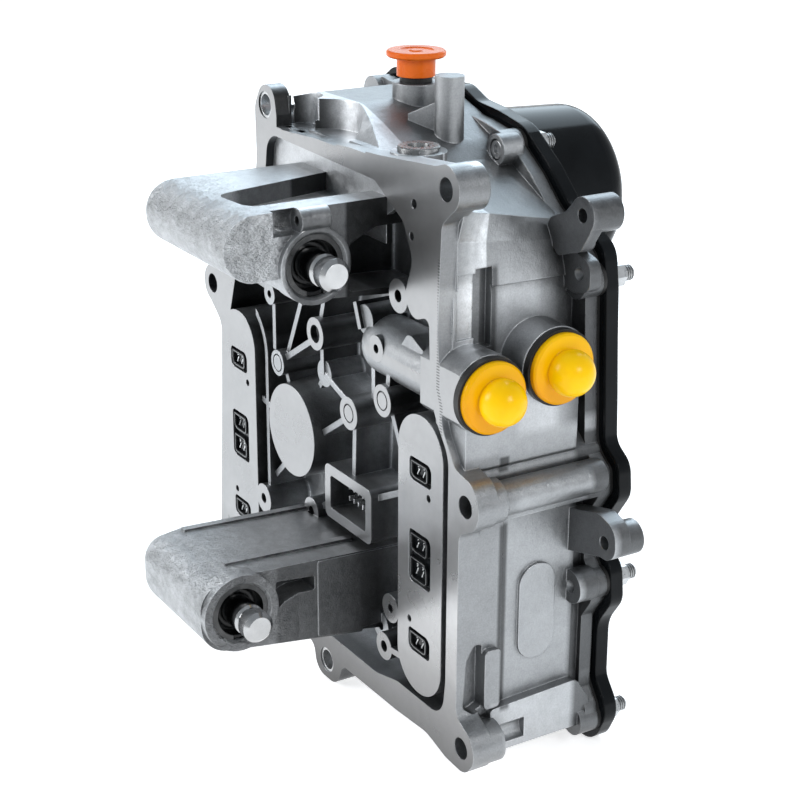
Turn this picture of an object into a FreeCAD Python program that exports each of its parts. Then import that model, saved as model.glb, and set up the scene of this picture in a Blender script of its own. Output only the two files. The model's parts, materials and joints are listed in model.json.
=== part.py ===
import FreeCAD, Part
import math
import os

from FreeCAD import Vector

# Driving dimensions, in millimetres.
# Y = 0 is the mounting face, with the arms on its front side (-Y).
# X = 0 is the middle of the case, and Z = 0 the middle of its lower rim.

# Case
rim_depth = 9.0
rim_width = 7.5
web_front = 20.0
web_thickness = 5.0
case_depth = 64.5
case_wall = 4.5
flange_thickness = 5.5
flange_inset = 3.5
case_right = 97.5
case_left = -99.0
case_bottom = -4.5
upper_wall_x = 83.5

# Rear cover and its gasket
gasket_thickness = 1.6
cover_sheet = 2.2
cover_edge_height = 5.6
pan_inset = 13.0
pan_depth = 13.0
dome_x = 5.5
dome_z = 187.0
dome_radius = 36.5
dome_depth = 55.0
dome_edge_radius = 11.0

# Cover studs and nuts
stud_diameter = 6.0
stud_proud = 5.0
stud_bite = 6.0
stud_boss_radius = 6.6
stud_boss_floor = 2.5
nut_flats = 8.0
nut_height = 4.6
washer_diameter = 9.5
washer_thickness = 1.0
stud_places = [
    (88.5, 175.3), (99.1, 56.0), (97.5, -4.0), (36.2, 215.6), (-20.0, 224.5), (-58.0, 222.0),
    (-93.0, 160.0), (-105.0, 78.0), (-97.0, -4.0),
]

# Mounting ears: through holes for the bolts that hold the unit
ear_radius = 8.5
ear_hole = 8.8
ear_depth = 13.0
thin_ear_depth = 7.0
top_left_ear = (-48.2, 223.4)
top_right_ear = (86.9, 216.5)
right_hole_x = 102.5
right_hole_pitch = 100.0
lower_right_hole_z = 2.8
left_ear = (-102.9, 134.3)
bottom_middle_ear = (-1.7, -8.0)
column_radius = 6.6
column_end = case_depth - 4.5
right_bore_depth = 30.0
collar_depth = 4.5
head_room_radius = 9.6
head_room_back = 22.0

# Pressed sleeves in the two locating ears
locating_hole = 11.0
sleeve_wall = 1.2
sleeve_length = 5.0

# Sensor lands, one each side of the front face
land_width = 31.2
land_height = 116.0
land_mid_z = 70.0
right_land_x = 71.9
left_land_x = -78.7
land_groove = 3.6
window_width = 15.5
window_height = 9.5
double_window_height = 22.0
window_rows = (105.4, 69.3, 33.6)
window_corner = 2.0
insert_clearance = 0.25
insert_recess = 1.6
plate_thickness = 3.0
plate_half_width = 8.6
plate_half_height = 43.5
pin_width = 0.9

# Clutch actuator arms
upper_arm_right = 42.0
upper_arm_left = -32.0
upper_arm_radius = 12.5
upper_tip_y = -51.5
upper_tip_z = 191.7
upper_bore_y = -28.0
upper_bore_z = 182.6
channel_floor_z = 197.0
lower_arm_right = 31.0
lower_arm_left = -29.0
lower_bore_y = -56.6
lower_bore_z = 44.7
bore_radius = 11.8
bore_boss_radius = 14.6
lower_boss_radius = 16.0
bore_depth = 52.0
bore_wall = 2.2
bore_end_wall = 4.0
boss_proud = 2.5

# Clutch plungers
rod_radius = 6.25
piston_length = 12.0
piston_clearance = 0.05
rod_reach = 15.0
stop_gap = 0.3
groove_width = 2.2
groove_depth = 1.4
spring_wire = 2.0
spring_turns = 5
spring_clearance = 0.8
guide_thickness = 7.0
guide_setback = 7.0
guide_gap = 0.3
guide_sleeve_wall = 1.7
clip_setback = 2.4
clip_thickness = 1.2
clip_width = 2.0

# Selector cylinders, which the side plugs close
cylinder_radius = 12.0
cylinder_bore = 8.0
front_cylinder_y = 12.0
front_cylinder_z = 142.3
rear_cylinder_y = 42.0
rear_cylinder_z = 148.0
cylinder_inner_end = 32.0
selector_floor = cylinder_inner_end + 2.0
port_boss_radius = 15.0
port_radius = 9.9
port_depth = 12.0
selector_length = 22.0
selector_clearance = 0.04
selector_travel = 6.0

# Side plugs
plug_flange_radius = 13.6
plug_ball_radius = 8.8
plug_ball_x = 9.7
plug_neck_radius = 7.0
plug_spigot_length = 8.0
plug_seal_radius = 14.6
plug_seal_thickness = 3.0
fit_clearance = 0.15

# Harness lugs
lug_front = case_depth - 13.5
small_lug_front = case_depth - 9.5
small_lug = (92.4, 179.6)
lowest_lug = (99.7, 56.9)
lug_hole_radius = 2.7
upper_lug = (98.1, 203.1)
lower_lug = (119.3, 83.2)

# Round pad and connector port
pad_x = -30.5
pad_z = 88.0
pad_radius = 20.0
port_left = -1.5
port_right = 35.7
port_bottom = 60.5
port_top = 84.0
port_wall = 4.4
port_shell_gap = 0.4

# Breather, pipe stub, blanking plug and locking screw on top
breather_x = -5.0
breather_y = 45.0
roof_inner_z = 220.0
breather_seat_z = roof_inner_z + 15.6
breather_boss_radius = 9.3
breather_ring_radius = 6.5
breather_ring_height = 2.4
breather_neck_radius = 7.7
breather_flange_radius = 11.85
breather_flange_thickness = 2.6
breather_neck_length = 7.5
breather_spigot_radius = 4.4
breather_spigot_length = 7.0
stub_x = 24.0
stub_y = 42.0
stub_radius = 5.7
stub_top_z = roof_inner_z + 22.7
blank_x = 46.0
blank_y = 14.5
blank_z = 221.0
blank_radius = 10.5
blank_plug_radius = 7.0
lock_x = 40.3
lock_z = 215.9
lock_face_y = case_depth - 11.9
lock_boss_radius = 6.0
lock_head_radius = 3.8
lock_head_length = 3.0
lock_screw_radius = 2.0
lock_bite = 1.8

# Pump unit and hydraulics inside the case
channel_plate_thickness = 14.0
channel_plate_y = case_depth - 34.5
motor_radius = 29.0
motor_length = 32.0
motor_x = -22.0
motor_z = 58.0
accumulator_radius = 30.0
accumulator_clearance = 4.9
clamp_y = case_depth - 24.5
clamp_width = 10.0
valve_radius = 8.0
valve_length = 24.0
valve_pitch = 18.5


def rounded_wire(points, to_space):
    """Closed wire through corner points (u, v, radius), with each corner rounded."""
    corners = []
    count = len(points)
    for i in range(count):
        u, v, radius = points[i]
        here = Vector(u, v, 0)
        back = Vector(points[i - 1][0], points[i - 1][1], 0) - here
        ahead = Vector(points[(i + 1) % count][0], points[(i + 1) % count][1], 0) - here
        angle = back.getAngle(ahead)
        if radius <= 0 or abs(math.pi - angle) < 0.02:
            corners.append((here, None, here))
            continue
        room = 0.49 * min(back.Length, ahead.Length)
        run = min(radius / math.tan(angle / 2), room)
        true_radius = run * math.tan(angle / 2)
        start = here + back.normalize() * run
        end = here + ahead.normalize() * run
        inward = (back + ahead).normalize()
        middle = here + inward * (true_radius / math.sin(angle / 2) - true_radius)
        corners.append((start, middle, end))
    edges = []
    for i in range(count):
        start, middle, end = corners[i]
        if middle is not None:
            edges.append(Part.Arc(to_space(start), to_space(middle), to_space(end)).toShape())
        following = corners[(i + 1) % count][0]
        if (following - end).Length > 0.001:
            edges.append(Part.LineSegment(to_space(end), to_space(following)).toShape())
    return Part.Wire(edges)


def prism_y(points, y0, y1):
    """Solid from an outline in X and Z, between two depths."""
    wire = rounded_wire(points, lambda p: Vector(p.x, y0, p.y))
    return Part.Face(wire).extrude(Vector(0, y1 - y0, 0))


def prism_x(points, x0, x1):
    """Solid from an outline in Y and Z, between two widths."""
    wire = rounded_wire(points, lambda p: Vector(x0, p.x, p.y))
    return Part.Face(wire).extrude(Vector(x1 - x0, 0, 0))


def prism_z(points, z0, z1):
    """Solid from an outline in X and Y, between two heights."""
    wire = rounded_wire(points, lambda p: Vector(p.x, p.y, z0))
    return Part.Face(wire).extrude(Vector(0, 0, z1 - z0))


def block(x0, x1, y0, y1, z0, z1):
    return Part.makeBox(x1 - x0, y1 - y0, z1 - z0, Vector(x0, y0, z0))


def rod_x(y, z, radius, x0, x1):
    return Part.makeCylinder(radius, x1 - x0, Vector(x0, y, z), Vector(1, 0, 0))


def rod_y(x, z, radius, y0, y1):
    return Part.makeCylinder(radius, y1 - y0, Vector(x, y0, z), Vector(0, 1, 0))


def rod_z(x, y, radius, z0, z1):
    return Part.makeCylinder(radius, z1 - z0, Vector(x, y, z0), Vector(0, 0, 1))


def cone_y(x, z, r0, r1, y0, y1):
    return Part.makeCone(r0, r1, y1 - y0, Vector(x, y0, z), Vector(0, 1, 0))


def turned(profile, origin, axis):
    """Solid of revolution: profile gives (distance along the axis, radius) corners."""
    points = [Vector(radius, 0, along) for along, radius in profile]
    points.append(points[0])
    face = Part.Face(Part.makePolygon(points))
    solid = face.revolve(Vector(0, 0, 0), Vector(0, 0, 1), 360)
    turn = FreeCAD.Rotation(Vector(0, 0, 1), axis)
    solid.Placement = FreeCAD.Placement(origin, turn)
    return solid


def fuse(first, *others):
    return first.multiFuse(list(others)).removeSplitter()


def join(first, pieces):
    """Fuse for the large casting: its seams stay as edges, which keeps the solid sound."""
    return first.multiFuse(list(pieces))


def cut(first, *tools):
    return first.cut(list(tools))


def slab_between(start, end, width, y0, y1):
    """Rib on the web: a straight strip between two places, with square ends."""
    along = Vector(end[0] - start[0], 0, end[1] - start[1])
    side = Vector(-along.z, 0, along.x).normalize() * (width / 2)
    a = Vector(start[0], y0, start[1])
    b = Vector(end[0], y0, end[1])
    corners = [a - side, b - side, b + side, a + side, a - side]
    return Part.Face(Part.makePolygon(corners)).extrude(Vector(0, y1 - y0, 0))


def soften(shape, radius, wanted):
    """Fillet the edges that wanted() picks, as far as the form allows."""
    edges = [edge for edge in shape.Edges if wanted(edge)]
    return shape.makeFillet(radius, edges) if edges else shape


def save(name, shape):
    os.makedirs("parts", exist_ok=True)
    shape.exportStep("parts/" + name + ".step")


# Outlines of the case, as corners (x, z, corner radius)

def rim_outline():
    return [
        (case_left - 3, case_bottom, 7), (case_left - 3, 20, 30), (case_left + 1.5, 80, 40),
        (case_left + 4, 118, 8), (left_ear[0] - 5, 128, 8), (left_ear[0] - 7, 141, 7),
        (-88.5, 145, 10), (-56.5, 194, 30), (-57.2, 222, 8.5), (-51, 232.3, 8),
        (-40.5, 231, 7), (-37.5, 215.5, 5), (42, 220, 60), (80, 223.5, 8), (90, 226.5, 9),
        (96.8, 214, 9), (84.5, 203.5, 6), (82.4, 164, 30), (86.5, 128, 12), (95.5, 115, 6),
        (right_hole_x + 7, 112, 8), (right_hole_x + 8.5, 97, 8), (case_right + 1, 90, 5),
        (case_right + 1, 15, 6), (right_hole_x + 8, 9, 7), (right_hole_x + 6.5, -7.5, 8),
        (92, -6.5, 12), (78, -2.6, 20), (55, case_bottom + 0.5, 30), (12, case_bottom, 5),
        (7, -16.5, 8.4), (-10.4, -16.5, 8.4), (-13, case_bottom, 5),
    ]


def recess_outline():
    left = case_left - 3 + rim_width
    right = right_land_x + land_width / 2 + land_groove
    bottom = case_bottom + rim_width + 2
    return [
        (left, bottom, 8), (left, 20, 20), (-90.5, 80, 40), (-88, 120, 20), (-79, 146, 12),
        (-50, 190, 16), (-46.5, 212.4, 9), (38.5, 210.2, 6), (59, 199, 8), (65.6, 186, 8),
        (60, 171, 5), (66, 163.5, 6), (77, 167.5, 3), (78.2, 138, 8), (83, 129, 12),
        (right, 118, 14), (right, 26, 19.4), (right - 2, 9.5, 18), (56, bottom + 4.5, 18),
        (40, bottom + 0.6, 20),
    ]


def body_outline():
    return [
        (case_left, case_bottom, 8), (case_left, 30, 30), (-95, 100, 40), (-85.5, 150, 30),
        (-64, 200, 24), (-52, 224, 12), (-36, 229, 12), (-4, 229.5, 30), (12, 224.5, 20),
        (30, 217.5, 20), (45, 207.5, 20), (62, 195.5, 20), (78, 186, 10), (upper_wall_x, 176, 12),
        (upper_wall_x, 122, 8), (case_right, 111, 5), (case_right, case_bottom, 8),
    ]


def flange_outline():
    return [
        (79.5, -16.5, 10), (99.5, -16.5, 11), (108.2, 1.0, 11), (99.0, 13.0, 8), (98.8, 37, 14),
        (106.9, 49, 9), (105.4, 62.5, 8), (99.8, 68, 7), (99.6, 81, 8), (108.4, 94, 9),
        (107.2, 106.5, 8), (98.3, 112.5, 7), (97.4, 130, 20), (95.9, 152, 30), (94.9, 172, 20),
        (92.6, 187, 9), (68.5, 201, 12), (57.5, 211, 20), (39, 223.5, 18), (22, 226.5, 20),
        (7, 227.8, 12), (-4, 232.3, 14), (-40, 230, 60), (-56, 232.5, 10), (-69, 224, 10),
        (-80, 192, 40), (-96, 170, 11), (-101.5, 152, 10), (-98.5, 130, 20), (-112, 92, 14),
        (-113, 66, 12), (-101.5, 50, 12), (-99.5, 30, 30), (-101.5, 9, 8), (-108.5, 2.5, 10),
        (-103, -16.5, 11), (-79.5, -16.5, 10), (-60, -9, 10), (60, -9, 10),
    ]


def offset_face(points, y, inset):
    wire = rounded_wire(points, lambda p: Vector(p.x, y, p.y))
    face = Part.Face(wire)
    return face.makeOffset2D(-inset, 0, False, False, False) if inset else face


def flange_plate(y0, y1, inset=0.0):
    return offset_face(flange_outline(), y0, inset).extrude(Vector(0, y1 - y0, 0))


def right_ears():
    upper = (right_hole_x, lower_right_hole_z + right_hole_pitch)
    lower = (right_hole_x, lower_right_hole_z)
    return [upper, lower]


# Front face: lands, bosses and ribs that rise from the web

def land_outline(x, grow=0.0):
    half_width = land_width / 2 + grow
    half_height = land_height / 2 + grow
    round_end = half_width - 0.1
    return [
        (x - half_width, land_mid_z - half_height, round_end),
        (x + half_width, land_mid_z - half_height, round_end),
        (x + half_width, land_mid_z + half_height, round_end),
        (x - half_width, land_mid_z + half_height, round_end),
    ]


def window_outline(x, z, height, shrink=0.0):
    half_width = window_width / 2 - shrink
    half_height = height / 2 - shrink
    return [
        (x - half_width, z - half_height, window_corner * 1.6),
        (x + half_width, z - half_height, window_corner),
        (x + half_width, z + half_height, window_corner * 1.6),
        (x - half_width, z + half_height, window_corner),
    ]


def windows(x):
    heights = (window_height, double_window_height, window_height)
    return [(x, z, height) for z, height in zip(window_rows, heights)]


# Bosses on the front face: (x, z, outer radius, hole radius, front depth)
front_bosses = [
    (-50.0, 142.9, 4.6, 1.7, 1.0), (-8.6, 137.1, 6.8, 1.9, 0.0), (-42.9, 114.4, 5.6, 0.0, 0.5),
    (-8.2, 119.6, 5.8, 0.0, 4.0), (18.2, 111.5, 6.8, 0.0, 0.0), (44.1, 125.1, 6.4, 0.0, 0.0),
    (-13.7, 57.1, 6.0, 2.2, 0.0), (-57.7, 46.6, 6.6, 2.3, 0.0), (50.6, 39.5, 6.0, 1.9, 0.0),
    (30.0, 20.5, 6.0, 2.0, 8.0), (45.8, 20.5, 5.8, 2.4, 0.0), (55.5, 170.0, 6.5, 2.4, 0.0),
]

# Ribs between them: (start, end, front depth)
front_ribs = [
    ((-50.0, 142.9), (-50.0, 118.0), 3.0), ((-28.0, 144.1), (-41.0, 117.0), 4.0),
    ((-40.0, 117.0), (-9.0, 136.0), 2.5), ((-8.6, 137.1), (-8.2, 119.6), 3.0),
    ((-8.2, 119.6), (18.2, 111.5), 3.5), ((-8.2, 119.6), (-14.5, 112.0), 5.0),
    ((18.2, 111.5), (-10.0, 93.0), 4.0), ((18.2, 111.5), (17.0, 84.0), 3.0),
    ((44.1, 125.1), (57.0, 100.0), 3.0), ((44.1, 125.1), (46.0, 140.0), 2.0),
    ((-42.9, 114.4), (-35.0, 100.0), 3.5), ((-62.0, 92.0), (-48.0, 90.0), 2.5),
    ((-55.0, 58.0), (-38.0, 74.0), 5.0),
    ((34.0, 80.0), (58.0, 92.0), 3.5), ((-1.0, 66.0), (-13.7, 57.1), 3.0),
    ((24.0, 143.0), (24.0, 118.0), 8.0), ((45.8, 20.5), (60.0, 22.0), 0.0),
    ((50.3, 39.5), (60.0, 42.0), 1.5), ((30.0, 20.5), (45.8, 20.5), 10.0),
    ((20.0, 158.0), (24.0, 148.0), 2.0), ((-9.0, 143.0), (-2.0, 168.0), 3.0),
    ((-92.0, 146.0), (-50.0, 143.0), 4.0),
]
rib_width = 2.6

# Ring grooves turned in the flat faces of three bosses: (x, z, front depth)
ringed_bosses = [(18.2, 111.5, 0.0), (44.1, 125.1, 0.0), (-42.9, 114.4, 0.5)]
ring_groove = (3.3, 4.0)


def front_details():
    """Everything that rises from the web towards the mounting face."""
    pieces = []
    for x in (right_land_x, left_land_x):
        pieces.append(prism_y(land_outline(x), 0, web_front + 1))
    for x, z, outer, hole, top in front_bosses:
        pieces.append(rod_y(x, z, outer, top, web_front + 1))
    for start, end, top in front_ribs:
        pieces.append(slab_between(start, end, rib_width, top, web_front + 1))
    pieces.append(cone_y(pad_x, pad_z, pad_radius, pad_radius + 1.6, 0, web_front + 1))
    frame = [(port_left, port_bottom, 3), (port_right, port_bottom, 3),
             (port_right, port_top, 3), (port_left, port_top, 3)]
    pieces.append(prism_y(frame, 0, web_front + 1))
    pieces.append(left_bridge())
    pieces.append(land_rib())
    pieces.append(selector_housing())
    return pieces


def land_rib():
    """Rib that follows the inner side of the left land at an even distance."""
    outer = prism_y(land_outline(left_land_x, 7.4), 2.5, web_front + 1)
    inner = prism_y(land_outline(left_land_x, 5.0), 2, web_front + 2)
    inner_side = left_land_x + land_width / 2
    span = block(inner_side - 3, inner_side + 12, 2, web_front + 2, 24, 132)
    return outer.cut(inner).common(span)


def left_bridge():
    """The left land runs into the rim along its outer side."""
    edge = left_land_x - land_width / 2
    corners = [(case_left + 2, 52, 0), (edge + 8, 52, 0), (edge + 8, 122, 0), (-84, 143, 0),
               (-92, 140, 0), (case_left + 4, 110, 0)]
    return prism_y(corners, 0, web_front + 1)


def selector_housing():
    """Cylinder that runs from the front recess to the right wall, with a rounded inner end."""
    body = rod_x(front_cylinder_y, front_cylinder_z, cylinder_radius, cylinder_inner_end,
                 upper_wall_x)
    end = Part.makeSphere(cylinder_radius, Vector(cylinder_inner_end, front_cylinder_y,
                                                  front_cylinder_z))
    boss = rod_y(39.6, 144.8, 5.2, -0.0, front_cylinder_y)
    lug = rod_y(25.5, 152.0, 6.0, 3.5, web_front + 1)
    slope = prism_y([(46, 141, 2), (58, 156, 4), (79, 147, 2), (79, 132, 2)], 3.0, web_front + 1)
    joined = body.fuse([end, boss, lug, slope])
    return joined.common(block(0, case_right, 0, web_front + 6, 100, 175))


def front_holes():
    tools = []
    for x in (right_land_x, left_land_x):
        for wx, wz, height in windows(x):
            tools.append(prism_y(window_outline(wx, wz, height), -1, web_front + web_thickness + 1))
    for x, z, outer, hole, top in front_bosses:
        if hole:
            tools.append(rod_y(x, z, hole, -1, web_front - 3))
    tools.append(rod_y(-8.6, 137.1, 3.8, -1, 3.0))
    for x, z, top in ringed_bosses:
        ring = rod_y(x, z, ring_groove[1], top - 1, top + 0.9)
        tools.append(ring.cut(rod_y(x, z, ring_groove[0], top - 2, top + 2)))
    tools.append(rod_y(39.6, 144.8, 1.8, -1, 6.0))
    for x, z, radius in ((66.1, 207.0, 1.9), (64.6, 194.8, 1.6), (right_land_x + 5.9, 96.9, 1.5),
                         (right_land_x - 7.0, 41.6, 1.5), (left_land_x + 8.0, 96.9, 1.5),
                         (left_land_x - 5.3, 41.6, 1.5)):
        tools.append(rod_y(x, z, radius, -1, 12))
    opening = [(port_left + port_wall, port_bottom + port_wall, 1.5),
               (port_right - port_wall, port_bottom + port_wall, 1.5),
               (port_right - port_wall, port_top - port_wall, 1.5),
               (port_left + port_wall, port_top - port_wall, 1.5)]
    tools.append(prism_y(opening, -1, web_front + web_thickness + 1))
    return tools


# Arms with the clutch cylinders

def upper_arm():
    root_y = web_front
    reach = [
        (upper_tip_y - upper_arm_radius, upper_tip_z - upper_arm_radius, upper_arm_radius - 0.05),
        (upper_tip_y + 14, upper_tip_z - upper_arm_radius, 4), (-27, 169.2, 12),
        (root_y, 165.5, 0), (root_y, upper_tip_z + upper_arm_radius, 0),
        (upper_tip_y - upper_arm_radius, upper_tip_z + upper_arm_radius, upper_arm_radius - 0.05),
    ]
    arm = prism_x(reach, upper_arm_left, upper_arm_right)
    arm = soften(arm, 9.0, lambda edge: on_plane(edge, "x", upper_arm_left) and not
                 on_plane(edge, "y", root_y))
    boss = rod_x(upper_bore_y, upper_bore_z, bore_boss_radius, upper_arm_right - 6,
                 upper_arm_right + boss_proud)
    pocket = prism_x([(-13, 170, 2), (root_y + 0.5, 168.5, 0), (root_y + 0.5, 193.5, 0),
                      (-2, 193.5, 4), (-13, 188, 3)], upper_arm_right - 22, upper_arm_right + 1)
    channel = prism_z([(8, -50, 6), (30.5, -48, 6), (31, root_y + 0.5, 0), (-8, root_y + 0.5, 0)],
                      channel_floor_z, 206)
    screw_x = upper_arm_right - 1
    screw_z = channel_floor_z + 2.7
    screw_lug = rod_y(screw_x, screw_z, 4.7, -34, -22)
    relief = rod_y(screw_x, screw_z, 4.9, -44, -34)
    arm = cut(arm, pocket, channel, relief)
    arm = fuse(arm, boss, bore_sleeve(*arm_places()["upper"]), screw_lug)
    return cut(arm, rod_y(screw_x, screw_z, 1.8, -35, -26))


def lower_arm():
    root_y = web_front
    tip_y = lower_bore_y - lower_boss_radius
    reach = [
        (tip_y, lower_bore_z - lower_boss_radius + 1, 13), (lower_bore_y + 8, 26.5, 20),
        (root_y, 17.5, 0), (root_y, 55.5, 0), (lower_bore_y + 2, 59, 14), (tip_y, 56.5, 12),
    ]
    arm = prism_x(reach, lower_arm_left, lower_arm_right - 1)
    arm = soften(arm, 8.0, lambda edge: on_plane(edge, "x", lower_arm_left) and not
                 on_plane(edge, "y", root_y))
    boss = rod_x(lower_bore_y, lower_bore_z, lower_boss_radius, lower_arm_right - 6,
                 lower_arm_right + boss_proud)
    slot = prism_x([(-39.9, 52.5, 1), (-22.6, 50.8, 1), (-22.6, 44.8, 1), (-30, 45, 2),
                    (-36, 43, 2), (-39.9, 40, 1)], lower_arm_right - 12, lower_arm_right + 1)
    step = prism_x([(-21.4, 23.6, 1), (root_y, 18.3, 0), (root_y, 55, 0), (-21.4, 56.8, 1)],
                   lower_arm_right - 2, lower_arm_right - 0.4)
    ridges = [prism_x([(lower_bore_y, 50, 0), (1, 50, 0), (1, 57.6, 0), (lower_bore_y, 60, 0)],
                      x - 1.6, x + 1.6) for x in (-19.5, 17.5)]
    arm = fuse(arm, boss, bore_sleeve(*arm_places()["lower"]), step, *ridges)
    return cut(arm, slot)


def bore_sleeve(mouth, y, z):
    """Metal all round a clutch bore, also where the arm is thinner than the bore."""
    return rod_x(y, z, bore_radius + bore_wall, mouth - bore_depth - bore_end_wall, mouth)


def on_plane(edge, axis, level):
    box = edge.BoundBox
    low = getattr(box, axis.upper() + "Min")
    high = getattr(box, axis.upper() + "Max")
    return abs(low - level) < 0.01 and abs(high - level) < 0.01


def arm_places():
    """Bore mouth and axis of each clutch cylinder: (x of the mouth, y, z, boss radius)."""
    upper = (upper_arm_right + boss_proud, upper_bore_y, upper_bore_z)
    lower = (lower_arm_right + boss_proud, lower_bore_y, lower_bore_z)
    return {"upper": upper, "lower": lower}


# Right side of the case

def side_details():
    pieces = []
    (middle_x, middle_z), lower = right_ears()
    pieces.append(rod_y(middle_x, middle_z, column_radius, 0, column_end))
    pieces.append(rod_y(middle_x, middle_z, ear_radius, 0, rim_depth + collar_depth))
    for ridge_z in (middle_z - 7.2, middle_z + 3.2):
        pieces.append(block(case_right - 6, middle_x + 2.2, rim_depth, column_end,
                            ridge_z - 0.8, ridge_z + 0.8))
    pieces.append(block(case_right - 6, middle_x - 2, rim_depth, column_end, middle_z - 7.2,
                        middle_z + 3.2))
    pieces.append(rod_y(lower[0], lower[1], ear_radius, 0, ear_depth + 2))
    pieces.append(rod_y(top_right_ear[0], top_right_ear[1], ear_radius, 0, ear_depth))
    pieces.append(right_shoulder())
    for y, z in ((front_cylinder_y, front_cylinder_z), (rear_cylinder_y, rear_cylinder_z)):
        boss = rod_x(y, z, port_boss_radius, upper_wall_x - 12, case_right)
        pieces.append(boss.common(block(0, 200, 0, case_depth, 100, 200)))
    web = prism_y([(upper_wall_x - 6, 112, 0), (case_right, 112, 2), (case_right, 140, 2),
                   (upper_wall_x - 6, 156, 0)], 3, case_depth - 11.5)
    pieces.append(web)
    pieces.append(prism_x([(28, 30, 8.2), (44.6, 30, 8.2), (44.6, 70, 8.2), (28, 70, 8.2)],
                          case_right - 1, case_right + 1.2))
    pieces.append(block(case_right - 1, case_right + 1, rim_depth - 1, web_front, 12, 92))
    pieces.append(prism_x([(11.4, 15, 2), (18.5, 15, 2), (18.5, 40, 2), (11.4, 40, 2)],
                          case_right - 1, case_right + 3.5))
    flare_back = case_depth - 3
    pieces.append(prism_x([(14, case_bottom, 2), (14, 14.5, 2), (22, 15, 2),
                           (case_depth - 10, 16.4, 4), (flare_back, 6, 3),
                           (flare_back, case_bottom, 2)], case_right - 3.5, case_right + 4))
    pieces.extend(side_lugs())
    return pieces


def right_shoulder():
    """Corner under the upper right ear: its ridge falls and narrows towards the cover."""
    front = [(38, 213.0), (88.5, 208.2), (84.3, 196), (84.3, 178), (38, 178)]
    back = [(38, 212.0), (73.3, 195.3), (79.5, 189), (84.0, 177), (38, 178)]
    wires = []
    for y, corners in ((rim_depth - 2, front), (case_depth - flange_thickness + 0.5, back)):
        points = [Vector(x, y, z) for x, z in corners]
        wires.append(Part.makePolygon(points + points[:1]))
    shoulder = Part.makeLoft(wires, True, True)
    return shoulder.cut(offset_face(body_outline(), 0, case_wall).extrude(Vector(0, 100, 0)))


def side_lugs():
    """Lugs beside the cover flange that carry the harness clips."""
    pieces = []
    root = case_depth - flange_thickness + 1
    upper_plate = [(76, 193, 3), (79, 198.5, 3), (88, 202.5, 4), (94, 208.5, 6), (102, 208, 6),
                   (104, 199, 6), (97.5, 189.5, 4), (84, 185, 3)]
    upper_foot = [(76, 193, 3), (79, 198.5, 3), (90, 199, 3), (97.5, 189.5, 4), (84, 185, 3)]
    pieces.append(prism_y(upper_plate, lug_front, lug_front + 5))
    pieces.append(prism_y(upper_foot, lug_front, root))
    pieces.append(rod_y(upper_lug[0], upper_lug[1], 6.9, lug_front, case_depth))
    pieces.append(prism_y([(78, 186, 2), (90, 187, 4), (99, 184.5, 5), (99, 174, 5), (90, 171.5, 4),
                           (78, 173, 2)], small_lug_front, root))
    lower_plate = [(95, 88.5, 2), (106.4, 91.4, 6), (115.3, 93.6, 8), (125.5, 90.5, 7),
                   (126.3, 79, 7), (115.1, 76, 8), (95, 71, 2)]
    pieces.append(prism_y(lower_plate, lug_front, lug_front + 7))
    pieces.append(rod_y(lower_lug[0], lower_lug[1], 6.7, lug_front, case_depth))
    pieces.append(rod_y(lowest_lug[0], lowest_lug[1], 6.8, lug_front, root))
    return pieces


def side_cuts():
    tools = []
    hook = prism_x([(3.2, 17, 2), (7, 14, 3), (11.4, 16, 1), (11.4, 42, 1), (8, 43, 2),
                    (4.6, 37, 3)], case_right - 3.2, case_right + 3)
    tools.append(hook)
    tools.append(block(upper_wall_x - 4.0, upper_wall_x + 6, 15, 22.5, 155, 185))
    tools.append(block(upper_wall_x - 1.2, upper_wall_x + 6, 7.5, 15.2, 159, 183.5))
    for x, z in (upper_lug, lower_lug):
        tools.append(rod_y(x, z, lug_hole_radius, lug_front - 1, case_depth + 1))
    for (x, z), front in ((small_lug, small_lug_front), (lowest_lug, lug_front)):
        tools.append(cone_y(x, z, 2.6, 0.8, front - 0.01, front + 2.4))
    return tools


def cove():
    """Hollow strip along the wall in front of the cover flange."""
    return block(case_right - 2.4, case_right + 3, case_depth - 10.7,
                 case_depth - flange_thickness, 12, 92)


# Top of the case

def top_details():
    pieces = []
    pieces.append(rod_z(breather_x, breather_y, breather_boss_radius, roof_inner_z,
                        breather_seat_z))
    pieces.append(rod_z(stub_x, stub_y, stub_radius, roof_inner_z - 2.5, stub_top_z))
    foot_x, foot_y = stub_x - 13, stub_y - 10
    gusset = Part.Face(Part.makePolygon([
        Vector(stub_x, stub_y, roof_inner_z - 1.5), Vector(stub_x, stub_y, stub_top_z - 8),
        Vector(foot_x, foot_y, roof_inner_z + 7), Vector(foot_x, foot_y, roof_inner_z + 3),
        Vector(stub_x, stub_y, roof_inner_z - 1.5)]))
    side = Vector(foot_y - stub_y, stub_x - foot_x, 0).normalize() * 1.4
    gusset.translate(side * -1)
    pieces.append(gusset.extrude(side * 2))
    blank = rod_z(blank_x, blank_y, blank_radius, blank_z - 15, blank_z)
    pieces.append(blank.cut(recess_solid()))
    pieces.append(rod_y(lock_x, lock_z, lock_boss_radius, lock_face_y, case_depth - 3))
    return pieces


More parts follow.
